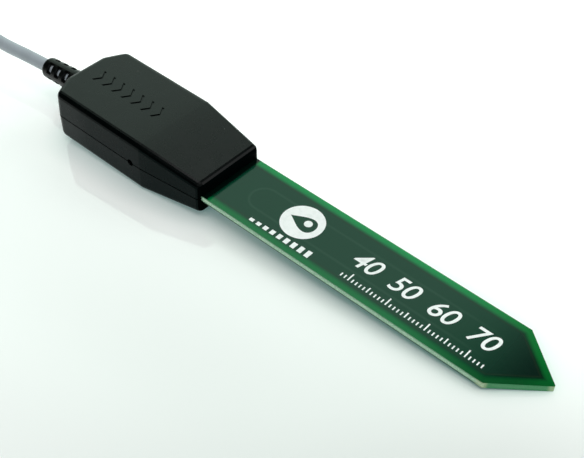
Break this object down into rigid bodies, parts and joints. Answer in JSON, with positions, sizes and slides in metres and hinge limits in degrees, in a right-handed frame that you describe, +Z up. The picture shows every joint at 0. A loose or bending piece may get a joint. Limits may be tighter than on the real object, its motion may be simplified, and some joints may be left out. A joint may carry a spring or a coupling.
{
  "type": "soil moisture sensor",
  "caption": "Capacitive soil moisture probe: a pointed circuit-board blade in a two-shell plastic housing, with a ribbed strain relief and a bare-ended cable put away in a tied hank.",
  "frame": {"origin": "middle of the rigid probe's footprint on the surface it rests on, below the middle between the strain relief's end and the blade's tip", "axes": "+X along the probe towards the blade's tip, +Y across the blade, +Z up from the surface; the probe's own axis slopes down towards +X by 3.24 degrees because it rests on the lower shell's knee and on the tip"},
  "size_m": [0.27, 0.0306, 0.0173],
  "materials": {
    "shell_plastic": "fine satin texture",
    "solder_mask": "glossy dark green solder mask over glass-fibre board",
    "strain_relief_plastic": "satin moulded elastomer",
    "grey_sheath": "satin grey cable sheath",
    "red_insulation": "satin wire insulation",
    "black_insulation": "satin wire insulation",
    "yellow_insulation": "satin wire insulation",
    "solder": "bright tinned",
    "chip_package": "matt moulding compound",
    "capacitor_ceramic": "fired ceramic",
    "resistor_glaze": "glazed",
    "sealing_resin": "cast resin",
    "tie_nylon": "satin nylon"
  },
  "bodies": {
    "root": {"upper_shell": "shell_plastic", "lower_shell": "shell_plastic", "sensor_board": "solder_mask", "strain_relief": "strain_relief_plastic", "cable_sheath_end": "grey_sheath", "free_cable": "grey_sheath", "cable_hank": "grey_sheath", "cable_tail": "grey_sheath", "hank_tie": "tie_nylon", "supply_wire": "red_insulation", "supply_solder_joint": "solder", "supply_lead": "red_insulation", "supply_tinned_end": "solder", "ground_wire": "black_insulation", "ground_solder_joint": "solder", "ground_lead": "black_insulation", "ground_tinned_end": "solder", "signal_wire": "yellow_insulation", "signal_solder_joint": "solder", "signal_lead": "yellow_insulation", "signal_tinned_end": "solder", "oscillator_chip": "chip_package", "voltage_regulator": "chip_package", "clamp_diode": "chip_package", "rectifier_diode": "chip_package", "input_capacitor": "capacitor_ceramic", "output_capacitor": "capacitor_ceramic", "bypass_capacitor": "capacitor_ceramic", "timing_capacitor": "capacitor_ceramic", "hold_capacitor": "capacitor_ceramic", "timing_resistor": "resistor_glaze", "drive_resistor": "resistor_glaze", "output_resistor": "resistor_glaze", "sealing_resin": "sealing_resin"}
  },
  "joints": []
}
